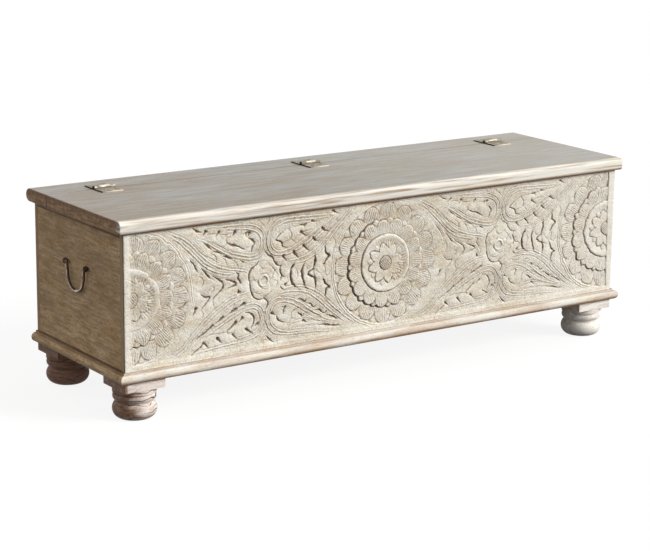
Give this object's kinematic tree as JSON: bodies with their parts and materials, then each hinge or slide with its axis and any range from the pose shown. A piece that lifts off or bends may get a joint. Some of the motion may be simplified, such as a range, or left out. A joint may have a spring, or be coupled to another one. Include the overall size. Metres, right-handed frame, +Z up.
{
  "type": "storage trunk",
  "caption": "Long low wooden storage trunk with a carved front, a lid hinged to a fixed rear rail, drop handles on the ends and turned bun feet.",
  "frame": {"origin": "on the floor, below the middle of the trunk's box", "axes": "+X along the trunk, +Y to the back, +Z up; the carved front faces -Y"},
  "size_m": [1.459, 0.453, 0.4727],
  "materials": {
    "carved_limed_wood": "deeply carved, brown stain under rubbed white lime wash",
    "limed_side_wood": "thin white lime wash over brown stain, worn at the edges",
    "limed_top_wood": "grey lime wash, long straight grain, worn edges",
    "limed_foot_wood": "turned, pinkish brown under thin lime wash",
    "bare_wood": "unfinished sawn hardwood",
    "aged_brass": "dull olive patina with rubbed bright knuckles",
    "screw_steel": "plain steel",
    "aged_iron": "dark forged iron, brown with age"
  },
  "bodies": {
    "carcass": {"front_panel": "carved_limed_wood", "left_end_panel": "limed_side_wood", "right_end_panel": "limed_side_wood", "back_panel": "limed_side_wood", "base_moulding_front": "limed_side_wood", "base_moulding_left": "limed_side_wood", "base_moulding_right": "limed_side_wood", "hinge_rail": "limed_top_wood", "foot_front_left": "limed_foot_wood", "foot_front_right": "limed_foot_wood", "foot_back_left": "limed_foot_wood", "foot_back_right": "limed_foot_wood", "bottom_board": "bare_wood", "foot_dowels": "bare_wood", "glue_block_front_left": "bare_wood", "glue_block_front_right": "bare_wood", "glue_block_back_left": "bare_wood", "glue_block_back_right": "bare_wood", "hinge_rail_leaf_left": "aged_brass", "hinge_rail_leaf_middle": "aged_brass", "hinge_rail_leaf_right": "aged_brass", "hinge_pin_left": "aged_brass", "hinge_pin_middle": "aged_brass", "hinge_pin_right": "aged_brass", "rail_hinge_screws": "aged_brass", "left_handle_eyes": "aged_iron", "right_handle_eyes": "aged_iron"},
    "lid": {"lid_plank_front": "limed_top_wood", "lid_plank_middle": "limed_top_wood", "lid_plank_rear": "limed_top_wood", "lid_batten_left": "bare_wood", "lid_batten_middle": "bare_wood", "lid_batten_right": "bare_wood", "batten_screws": "screw_steel", "lid_hinge_screws": "aged_brass", "hinge_lid_leaf_left": "aged_brass", "hinge_lid_leaf_middle": "aged_brass", "hinge_lid_leaf_right": "aged_brass"},
    "left_handle": {"left_handle_bail": "aged_iron"},
    "right_handle": {"right_handle_bail": "aged_iron"}
  },
  "joints": [
    {"name": "lid_hinge", "type": "hinge", "parent": "carcass", "child": "lid", "pos_m": [0, 0.1205, 0.4685], "axis": [-1, 0, 0], "range_deg": [0, 180]},
    {"name": "left_handle_swing", "type": "hinge", "parent": "carcass", "child": "left_handle", "pos_m": [-0.7202, -0.001, 0.324], "axis": [0, 1, 0], "range_deg": [-3, 183]},
    {"name": "right_handle_swing", "type": "hinge", "parent": "carcass", "child": "right_handle", "pos_m": [0.7202, -0.001, 0.324], "axis": [0, -1, 0], "range_deg": [-3, 183]}
  ]
}
